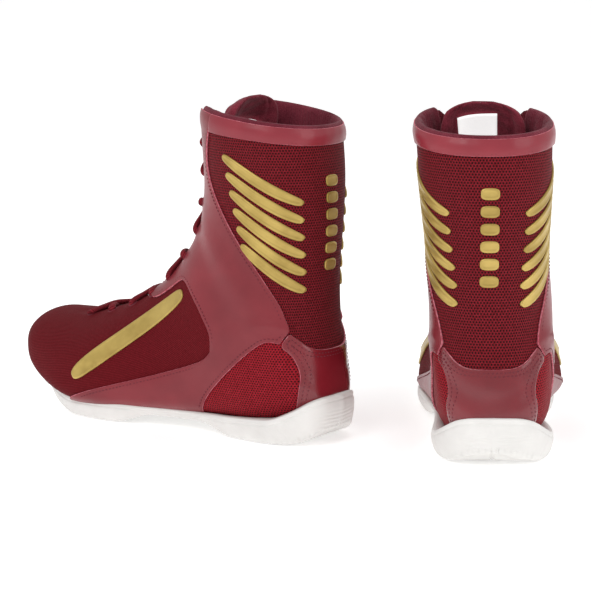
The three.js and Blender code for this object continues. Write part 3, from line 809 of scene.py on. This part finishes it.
def eyelet_swell():
    """The upper puffs up round each lace hole."""
    swell = np.zeros(len(net.t))
    for t in rows_of_eyelets:
        for side in (1, -1):
            away = np.linalg.norm(net.point - on_facing(t, side * LACE["half"], 0), axis=1)
            swell += EYELET["swell"] * np.exp(-(away / EYELET["swell_reach"]) ** 2)
    return swell


rows_of_eyelets = eyelet_rows()
bulge = collar_bulge() + eyelet_swell()


def quarters():
    corner = [[27.3, 84.4], [26.5, 83], [27.1, 81.6], [30.9, 74.1], [31.5, 73], [32.8, 73.2]]
    outline = [[82, 260], *SHAFT_EDGE[:-1], *corner, *WINDOW_FRONT[1:], [216, 0], *VAMP_EDGE,
               *VAMP_BACK, *LOBE_EDGE, [190, 130], [190, 260]]
    base = panel_field(net, outline)
    away = -inside_distance(net.uv["side"], rounded(HEEL_MESH))
    ridge = 0.9 * np.exp(-((away - 7) / 3.2) ** 2) * np.clip((z_all - 30) / 20, 0, 1)
    chains = []
    for name, across in side_of.items():
        field = np.minimum.reduce([base, throat, above_floor, across])
        shape = shell(net, field, LEATHER, bulge=bulge + soft_waves(0.25, 14) + ridge)
        make(f"quarter_{name}", shape, ("maroon", "edge"), f"quarter_{name}")
        allowed = np.minimum.reduce([throat - 3, above_floor - 8, across - 2, 214 - z_all])
        chains += edge_paths(net, base, 2.6, allowed)
        chains += edge_paths(net, throat, 2.6, np.minimum.reduce([base - 3, across, 222 - z_all]))
    return chains


def counter():
    outline = [*COUNTER_TOP, *WINDOW_BACK, [28, 0], [-20, 0]]
    base = panel_field(net, outline)
    field = np.minimum(base, above_floor)
    shape = shell(net, field, LEATHER, bulge=soft_waves(0.3, 9))
    make("heel_counter", shape, ("gloss", "edge"), "heel_counter")
    return edge_paths(net, base, 2.4, above_floor - 12) + edge_paths(net, base, 4.6, above_floor - 12)


def vamp():
    outline = [[310, -10], [310, 140], [168, 140], [129, 123], *shifted(VAMP_BACK[::-1], -7, 4),
               [80, 54], [92, 47], [146, 29], [184, 18], [194, -10]]
    field = np.minimum.reduce([panel_field(net, outline), throat, above_floor])
    pucker = np.exp(-((net.point[:, 0] - 226) / 16) ** 2 - (net.across / 15) ** 2)
    dents = pucker * (0.9 * np.sin(net.across / 2.6) - 0.6)
    shape = shell(net, field, MESH, "girth", bulge=dents + soft_waves(0.35, 17) + eyelet_swell())
    make("vamp", shape, ("vamp", "vamp"), "vamp")


def heel_windows():
    base = panel_field(net, HEEL_MESH)
    for name, across in side_of.items():
        field = np.minimum.reduce([base, above_floor, across])
        shape = shell(net, field, MESH, "side")
        make(f"heel_mesh_{name}", shape, ("heel", "heel"), f"heel_mesh_{name}")


def shaft_mesh():
    outline = [[-20, 60], [14, 61], [19, 66], [28, 76], [33, 83], *shifted(SHAFT_EDGE[::-1], 6, 0)[1:],
               [96, 224], [92, 224.5], [50, 221], [14, 216.5], [-20, 215]]
    shape = shell(net, panel_field(net, outline), MESH, "back")
    make("shaft_mesh", shape, ("shaft", "shaft"), "shaft_mesh")


def linings():
    wide = np.minimum(throat_field(net, THROAT_HALF) - 1,
                      np.where(np.abs(net.v) < 0.5, np.abs(net.across) - LINING_EDGE, 50.0))
    foot_top = [[-20, 60], [60, 60], [100, 84], [134, 112], [160, 160]]
    shaft_low = [[-20, 82], [30, 82], [60, 98], [122, 158], [160, 196]]
    foot = [[-20, -10], *foot_top, [244, 160], [244, -10]]
    ankle = [*foot_top, *shaft_low[::-1]]
    shaft = [*shaft_low, [160, 260], [-20, 260]]
    parts = [("ankle_lining", ankle, wide), ("shaft_lining", shaft, wide)]
    parts += [(f"vamp_lining_{name}", foot, np.minimum(wide, across + 0.2))
              for name, across in side_of.items()]
    for name, outline, limit in parts:
        base = inside_distance(net.uv["side"], outline)
        field = np.minimum.reduce([base + 0.4, limit, above_floor])
        shape = shell(net, field, LINING, "back", inset=0.4)
        make(name, shape, ("lining",), name)


def collar_band():
    outline = [*BAND_LINE[:3], [93.4, 219.8], [91.4, 228], [83.4, 262], [-20, 262]]
    base = inside_distance(net.uv["side"], outline)
    x, y, z = net.point.T
    crinkle = 0.16 * np.sin(y / 1.7 + 0.9 * np.sin(z / 2.1)) * np.sin(z / 2.4 + x / 5.0)
    crinkle = crinkle * np.exp(-((z - 219) / 5.0) ** 2)
    shape = shell(net, base, LEATHER, bulge=bulge + crinkle)
    make("collar_band", shape, ("band", "edge"), "collar_band")
    return edge_paths(net, base, 1.6, np.minimum(86 - x, 217 - z))


def collar_roll():
    """A soft roll of lining over the collar's edge, ribbed inside, with round ends."""
    columns = 300
    end = float(angle_at(LAST, THROAT_HALF + COLLAR_OPENING["wider"]))
    v = np.linspace(end, 2 - end, columns)
    # (place in sections, offset from the skin) down the roll: over the edge and down the inside
    profile = np.array([[LAST - 0.35, -1.2], [LAST - 0.04, -0.2], [LAST + 0.1, -0.5],
                        [LAST + 0.2, -1.6], [LAST + 0.23, -3.2], [LAST + 0.12, -5.2],
                        [LAST - 0.1, -6.6], [LAST - 0.45, -7.6], [LAST - 0.9, -7.8],
                        [LAST - 1.3, -7.0], [LAST - 1.6, -5.4], [LAST - 1.8, -3.4],
                        [LAST - 1.4, -2.4], [LAST - 0.8, -2.0]])
    profile = np.vstack([profile, profile[:1]])
    curve = blend_rows(profile, np.linspace(0, len(profile) - 1, 3 * len(profile)))[:-1]
    middle = curve.mean(0)
    distance = np.minimum(np.arange(columns), np.arange(columns)[::-1])
    swell = np.sqrt(np.clip(distance / 7, 0, 1) * (2 - np.clip(distance / 7, 0, 1)))
    grid = np.zeros((len(curve), columns, 3))
    uv = np.zeros((len(curve), columns, 2))
    turn = np.linspace(0, 2 * math.pi, columns)
    ribs = 0.3 * np.sin(95 * turn) + 0.5 * np.sin(7 * turn + 1) + 0.35 * np.sin(17 * turn)
    for k, (place, offset) in enumerate(curve):
        t = middle[0] + (place - middle[0]) * swell
        deep = middle[1] + (offset - middle[1]) * swell + ribs * swell * (offset < -3)
        grid[k] = raised(t, v, deep)
        uv[k] = np.stack([turn * 46, np.full(columns, k * 1.2)], 1)
    shape = capped(np.swapaxes(grid, 0, 1), np.swapaxes(uv, 0, 1), inside_out=True)
    for obj in make("collar_roll", shape, ("fleece",), "collar_roll"):
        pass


def tongue_surface(t, v, depth):
    """The tongue's own surface: it leans back from the collar near its top."""
    point = raised(np.minimum(t, LAST), v, depth - 1.4 * np.maximum(0, t - LAST + 3) / 3)
    lean_from = TONGUE_TOP["lean_from"]
    point[..., 0] -= TONGUE_TOP["lean"] * np.maximum(0, (t - LAST + lean_from) / lean_from) ** 2
    point[..., 2] += TONGUE_TOP["rise"] * np.maximum(0, t - LAST)
    return point


def tongue():
    rows, columns = 150, 60
    first = front_at(236, 0)
    top = LAST + TONGUE_TOP["past"]
    share = np.linspace(0, 1, rows)[:, None]
    across = np.linspace(-1, 1, columns)[None, :]
    t = first + (top - first) * share
    end = np.clip((share - 0.88) / 0.12, 0, 1)
    width = (0.15 + 0.15 * np.minimum(1, share * 1.6)) * np.sqrt(np.maximum(0.03, 1 - end ** 2.2))
    v = width * across
    edge = np.sqrt(np.maximum(0, 1 - np.abs(across) ** 4)) * np.sqrt(np.maximum(0, 1 - end ** 6))
    soft = np.clip((share - 0.72) / 0.2, 0, 1)
    crease = soft * (1.1 * np.sin(across * 7 + share * 60) * np.sin(share * 90 + 2 * across)
                     + 0.5 * np.sin(across * 11 + 3 * share))
    seam = -1.3 * np.exp(-((np.abs(across) - 0.72) / 0.07) ** 2)
    middle = 0.5 * (TONGUE[0] + TONGUE[1])
    half = 0.5 * (TONGUE[1] - TONGUE[0]) + 1.0 * soft
    faces_out = tongue_surface(t, v, middle + (half + crease + seam) * edge)
    faces_in = tongue_surface(t, v, middle - (half + 0.6 * crease + seam) * edge)
    uv = np.stack([across * 35 + 0 * share, share * 260 + 0 * across], -1)
    # around the tongue: out across the outer face and back across the inner one
    grid = np.concatenate([faces_out, faces_in[:, ::-1][:, 1:-1]], axis=1)
    texture = np.concatenate([uv, uv[:, ::-1][:, 1:-1]], axis=1)
    shape = capped(grid, texture)
    for obj in make("tongue", shape, ("tongue",), "tongue"):
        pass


def size_label():
    """A blank woven label on the inner face of the tongue, lower in the left boot."""
    rows, columns = 10, 14
    thick = 0.5
    share = np.linspace(0, 1, rows)[:, None]
    across = np.linspace(-1, 1, columns)[None, :]
    v = -0.05 + 0.14 * across + 0 * share
    uv = np.stack([across * 14 + 0 * share, share * 16 + 0 * across], -1)
    for side, drop in LABEL_DROP.items():
        t = LAST - drop + 1.35 * share + 0.1 * across
        layers = []
        for face in (0, 1):
            depth = TONGUE[0] - 2.7 - 0.6 * np.cos(across * 2.2) * share + (face - 0.5) * thick
            layers.append(tongue_surface(t, v, depth))
        front, back = layers
        grid = np.concatenate([back, front[:, ::-1]], axis=1)
        shape = capped(grid, np.concatenate([uv, uv[:, ::-1]], axis=1))
        # Its material glows: painted light that keeps the label white inside the boot.
        make("size_label", shape, ("label",), "size_label", (side,))


def lace_strand(rows, first):
    """Places (section, distance from the centre line, offset) of one end of the lace, from the
    top row down: it crosses over the facings and under them by turns."""
    places = []
    for row, (a, b) in enumerate(zip(rows, rows[1:])):
        outside = row % 2 == 0
        side = first if outside else -first
        level = LACE["over"] if outside else LACE["under"]
        low = [level - (FACING_STEP if outside and k >= FACING_ROWS else 0) for k in (row, row + 1)]
        apart = LACE["half_thick"] * (1 if first < 0 else -1)
        for share in (0, 0.24, 0.5, 0.76, 1):
            offset = low[0] + (low[1] - low[0]) * share
            if share == 0.5:
                offset += apart + (-1.4 if outside else 2.2)
            places.append((a + share * (b - a), side * LACE["half"] * (1 - 2 * share), offset))
    return places


def lace(rows):
    top, under, half = rows[0], LACE["under"], LACE["half"]
    tails = {side: [(top + up, side * half, under) for up in (1.0, 0.5, 0)] for side in (1, -1)}
    bar = [(rows[-1], distance, under) for distance in (half, 0.0, -half)]
    route = [*tails[1], *lace_strand(rows, 1), *bar, *lace_strand(rows, -1)[::-1], *tails[-1][::-1]]
    t, distance, offset = smooth_path(route).T
    v = angle_at(t, distance)
    shape = tube(raised(t, v, offset), LACE["half_width"], 14, skin_normal(t, v), LACE["half_thick"])
    shape.uv = np.stack([shape.uv[:, 0] + 3 * shape.uv[:, 1], shape.uv[:, 1]], 1)
    make("lace", shape, ("lace",), "lace")


def eyelets(rows):
    """A thin stitched ring round each lace hole."""
    shapes = []
    for row, t in enumerate(rows):
        for side in (1, -1):
            offset = 1.2 if row < FACING_ROWS else -0.4
            centre = on_facing(t, side * LACE["half"], offset)
            normal = skin_normal(t, float(angle_at(t, side * LACE["half"])))
            first = unit(np.cross(normal, [0, 0, 1.0]))
            second = np.cross(normal, first)
            turn = np.linspace(0, 2 * math.pi, 25)
            circle = np.cos(turn)[:, None] * first + np.sin(turn)[:, None] * second
            shapes.append(tube(centre + EYELET["radius"] * circle, EYELET["wire"], 8))
    make("eyelet_rings", joined(shapes), ("thread",))


def printed_bar(fine, places, outline, rim=0.45, inset=0.6):
    """A raised bar of gold print with a rim inside its edge."""
    field = inside_distance(places, rounded(outline, 3))
    border = rim * np.exp(-((field - 1.3) / 0.55) ** 2)
    return shell(fine, field, TRIM, inset=inset, bulge=border)


def bar_outline(start, end, half, taper=0.7):
    """A straight bar between two places, a little narrower at its ends."""
    start, end = np.array(start, float), np.array(end, float)
    along = (end - start) / np.linalg.norm(end - start)
    side = np.array([-along[1], along[0]])
    spots = [(0, taper), (0.25, 1), (0.75, 1), (1, taper)]
    upper = [start + (end - start) * share + side * half * width for share, width in spots]
    lower = [start + (end - start) * share - side * half * width for share, width in spots]
    return [*upper, *lower[::-1]]


def shaft_stripes():
    """Plain slanted bars on each side of the shaft."""
    back_x, drop, half = SHAFT_BARS["back_x"], SHAFT_BARS["drop"], SHAFT_BARS["half"]
    for name, v_range in (("lateral", (0.3, 0.98)), ("medial", (-0.98, -0.3))):
        fine = Net((10.5, 16.9), 250, v_range, 150, closed=False)
        shapes = []
        for x, z in SHAFT_BARS["fronts"]:
            outline = bar_outline((x, z), (back_x, z - drop), half)
            shapes.append(printed_bar(fine, fine.uv["side"], outline))
        make(f"shaft_stripes_{name}", joined(shapes), ("gold", "gold"))


def forefoot_bars():
    outline = bar_outline(FOREFOOT_BAR["start"], FOREFOOT_BAR["end"], FOREFOOT_BAR["half"])
    for name, v_range in (("lateral", (0.15, 0.85)), ("medial", (-0.85, -0.15))):
        fine = Net((5.0, 11.0), 230, v_range, 130, closed=False)
        make(f"forefoot_flash_{name}", printed_bar(fine, fine.uv["side"], outline),
             ("gold", "gold"), f"forefoot_flash_{name}")


def back_badge():
    """A column of plain bars down the back of the shaft."""
    fine = Net((12.6, 17), 240, (0.86, 1.14), 60, closed=False)
    half, gap = BADGE["half"], BADGE["gap"]
    pitch = (BADGE["to_z"] - BADGE["from_z"]) / BADGE["bars"]
    shapes = []
    for bar in range(BADGE["bars"]):
        start, end = (BADGE["from_z"] + pitch * (bar + share) for share in (gap, 1 - gap))
        outline = [[-half, start], [half, start], [half, end], [-half, end]]
        shapes.append(printed_bar(fine, fine.point[:, 1:], outline, rim=0.4, inset=0.5))
    make("back_badge", joined(shapes), ("gold", "gold"), "back_badge")


def sole_outline():
    """The sole's outline seen from above, and the way inward at each of its points."""
    half = blend_rows(SOLE_PLAN, np.linspace(0, len(SOLE_PLAN) - 1, SOLE_STEPS + 1))
    lateral, medial = half[:, :2], half[:, [0, 2]]
    ends = np.linspace(0, 1, SOLE_ACROSS + 1)[1:-1, None]
    toe = lateral[-1] * (1 - ends) + medial[-1] * ends + np.sin(math.pi * ends) * [1.6, 0]
    heel = medial[0] * (1 - ends) + lateral[0] * ends - np.sin(math.pi * ends) * [0.6, 0]
    outline = np.vstack([lateral, toe, medial[::-1], heel])
    reach = 6
    tangent = unit(np.roll(outline, -reach, axis=0) - np.roll(outline, reach, axis=0))
    return outline, np.stack([tangent[:, 1], -tangent[:, 0]], 1)


def sole_height(x, column):
    """Heights of the underside (column 1) or the top edge (column 2), with softened corners."""
    line = np.linspace(-20, 300, 641)
    values = np.interp(line, SOLE_HEIGHT[:, 0], SOLE_HEIGHT[:, column])
    window = 17
    soft = np.convolve(np.pad(values, window // 2, "edge"), np.ones(window) / window, "valid")
    return np.interp(x, line, np.maximum(soft, 0))


def seat(outline, inward, z):
    """How far inside the outline the upper is met, at one height for each point."""
    upper = [Vector(point) for point in net.point + net.normal * 0.3]
    tree = BVHTree.FromPolygons(upper, net.cells().tolist())
    found = np.full(len(outline), 6.0)
    away = 25
    for k, (place, way) in enumerate(zip(outline, inward)):
        origin = Vector((*(place - way * away), z[k]))
        hit = tree.ray_cast(origin, Vector((*way, 0)), 60)
        if hit[0] is not None:
            found[k] = np.clip(hit[3] - away, 0.6, 14)
    wrapped = np.concatenate([found[-4:], found, found[:4]])
    return np.convolve(wrapped, np.ones(9) / 9, "valid")


def wall_relief(x, z, bottom, top, notch):
    """How deep the sole's wall is cut at each place: a groove below the top edge, a swirl on
    the heel, ribs behind it, waves at the forefoot and teeth along the underside."""
    from_top = top - z
    groove = 0.55 * np.exp(-((from_top - 3.4) / 0.7) ** 2)
    heel_zone = np.clip((92 - x) / 20, 0, 1) * np.clip((x - 12) / 10, 0, 1)
    turns = np.hypot(x - 96, (z + 22) * 1.5) / 7.5
    swirl = 0.4 * heel_zone * np.maximum(0, np.sin(2 * math.pi * turns)) ** 2
    rear = np.clip((9 - x) / 5, 0, 1) * np.clip((26 - z) / 5, 0, 1)
    ribs = 0.35 * rear * (0.5 + 0.5 * np.cos(2 * math.pi * z / 2.7))
    forefoot = np.clip((x - 165) / 15, 0, 1)
    waves = 0.25 * forefoot * np.maximum(0, np.sin(2 * math.pi * (x + z) / 9)) ** 3
    fade = np.clip(from_top / 4, 0, 1)
    teeth = 0.9 * notch * np.clip((6.5 - (z - bottom)) / 3, 0, 1)
    return groove + (swirl + ribs + waves) * fade + teeth


def tread(places):
    """Height of the curved grooves and the spine groove in the underside."""
    x, y = places[..., 0], places[..., 1]
    band = np.abs(((x + 5 * np.cos(y / 10)) / 9) % 1 - 0.5)
    line = np.clip((0.13 - band) / 0.05, 0, 1)
    spine = np.clip((1.6 - np.abs(y - 4)) / 0.8, 0, 1)
    return 1.3 * np.maximum(line, spine)


def sole_lid(ring, relief=None):
    """A net across the sole inside one ring of its wall."""
    toe_end, heel_end = SOLE_STEPS + SOLE_ACROSS, 2 * SOLE_STEPS + SOLE_ACROSS
    left, right = ring[:SOLE_STEPS + 1], ring[toe_end:heel_end + 1][::-1]
    share = np.linspace(0, 1, SOLE_ACROSS + 1)[None, :, None]
    grid = left[:, None] * (1 - share) + right[:, None] * share
    grid[0] = np.vstack([ring[:1], ring[heel_end + 1:][::-1], ring[heel_end:heel_end + 1]])
    grid[-1] = ring[SOLE_STEPS:toe_end + 1]
    if relief:
        grid[1:-1, 1:-1, 2] += relief(grid[1:-1, 1:-1])
    return sheet_shape(grid, grid[..., :2])


def outsole():
    """The moulded sole: a grooved underside, a sculpted wall and a seat for the upper."""
    outline, inward = sole_outline()
    x = outline[:, 0]
    bottom, top = sole_height(x, 1), sole_height(x, 2)
    floor_line = np.interp(x, *np.array(FLOOR_LINE, float).T)
    steps = np.linalg.norm(np.diff(outline, axis=0), axis=1)
    arc = np.concatenate([[0], np.cumsum(steps)])
    rings = []

    def ring(inset, z):
        rings.append(np.column_stack([outline + inward * np.reshape(inset, (-1, 1)), z]))

    notch = np.maximum(0, np.cos(2 * math.pi * arc / 4.4)) ** 4
    notch = notch * (np.clip((85 - x) / 8, 0, 1) + np.clip((x - 160) / 8, 0, 1))
    for inset, lift in ((8, 0), (6.2, 0.35), (4.6, 1.1), (3.4, 2.2)):
        ring(inset + 0.9 * notch * (inset < 7), bottom + lift)
    levels = 44
    wall_low = 3.5
    for u in np.linspace(0, 1, levels + 1):
        low = bottom + wall_low
        z = low + (top - low) * u
        inset = 2.5 * (1 - u) ** 2 + 1.8 * u ** 4
        ring(inset + wall_relief(x, z, bottom, top, notch), z)
    met = seat(outline, inward, top)
    ring(np.maximum(2.6, 0.25 * met + 1.8), top + 0.35)
    ring(np.maximum(met + 0.2, 3.2), top + 0.1)
    ring(np.maximum(met + 1.4, 4.4), top - 1.5)
    ring(np.maximum(met + 5, 9), np.minimum(floor_line - 1.3, top - 3))
    rows = np.array(rings)
    uv = np.stack(np.broadcast_arrays(arc[None, :], rows[:, :, 2]), -1)
    wall = sheet_shape(rows, uv, closed=True)
    return joined([wall.turned(), sole_lid(rows[0], tread).turned(), sole_lid(rows[-1])])


def toe_lip():
    """The sole's thin lip, which wraps up under the front of the toe."""
    line = np.array(FLOOR_LINE, float)
    below = np.interp(x_all, line[:, 0], line[:, 1]) + TOE_LIP["height"] - z_all
    return shell(net, np.minimum(below, x_all - TOE_LIP["from_x"]), TOE_LIP["layer"])


def weld(obj, distance):
    """Joins vertices that lie on each other, so that the piece is one closed mesh."""
    modifier = obj.modifiers.new("weld", "WELD")
    modifier.merge_threshold = distance


stitched = quarters() + counter()
vamp()
heel_windows()
shaft_mesh()
linings()
stitched += collar_band()
collar_roll()
tongue()
size_label()
lace(rows_of_eyelets)
eyelets(rows_of_eyelets)
shaft_stripes()
forefoot_bars()
back_badge()
sole_shape = joined([outsole(), toe_lip()])
for sole in make("outsole", sole_shape, ("rubber",), "outsole"):
    weld(sole, 1e-6)
make("stitching", stitches(stitched), ("thread",))

HIDDEN = {"insole_board": "board", "sock_liner": "lining", "toe_puff": "stiffener",
          "heel_stiffener": "stiffener"}
for side in BOOTS:
    for node, look in HIDDEN.items():
        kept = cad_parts[f"{side}_{node}"]
        kept.data.materials.clear()
        kept.data.materials.append(LOOKS[look])


# ---- floor, light and camera ---------------------------------------------------------
def floor():
    mesh = bpy.data.meshes.new("floor_mesh")
    half = FLOOR["half"]
    corners = [(x * half, y * half, -FLOOR["below"]) for x, y in ((-1, -1), (1, -1), (1, 1), (-1, 1))]
    mesh.from_pydata(corners, [], [(0, 1, 2, 3)])
    look = Look("floor_white", 0.9, Emission_Color=(1, 1, 1, 1), Emission_Strength=FLOOR["glow"])
    look.colour(look.mix(look.noise(3, 2), "#fbfbfb", "#fefefe"))
    mesh.materials.append(look.material)
    obj = bpy.data.objects.new("floor", mesh)
    bpy.context.scene.collection.objects.link(obj)


def area_light(name, place, size, power):
    data = bpy.data.lights.new(name, "AREA")
    data.shape = "RECTANGLE"
    data.size, data.size_y = size
    data.energy = power
    obj = bpy.data.objects.new(name, data)
    obj.location = place
    obj.rotation_euler = (Vector(LIGHT_AIM) - Vector(place)).to_track_quat("-Z", "Y").to_euler()
    bpy.context.scene.collection.objects.link(obj)


def lights():
    for light in LIGHTS:
        area_light(*light)
    world = bpy.data.worlds.new("studio")
    world.use_nodes = True
    world.node_tree.nodes["Background"].inputs["Color"].default_value = (1, 1, 1, 1)
    world.node_tree.nodes["Background"].inputs["Strength"].default_value = WORLD_GLOW
    bpy.context.scene.world = world


def camera():
    target = Vector(CAMERA["target"])
    elevation = math.radians(CAMERA["elevation"])
    back = Vector((0, -math.cos(elevation), math.sin(elevation)))
    data = bpy.data.cameras.new("camera")
    data.lens = CAMERA["lens"]
    data.sensor_width = 36
    obj = bpy.data.objects.new("camera", data)
    obj.location = target + CAMERA["distance"] * back
    obj.rotation_euler = (target - obj.location).to_track_quat("-Z", "Y").to_euler()
    bpy.context.scene.collection.objects.link(obj)
    bpy.context.scene.camera = obj


floor()
lights()
camera()
bpy.context.scene.view_settings.view_transform = "Standard"
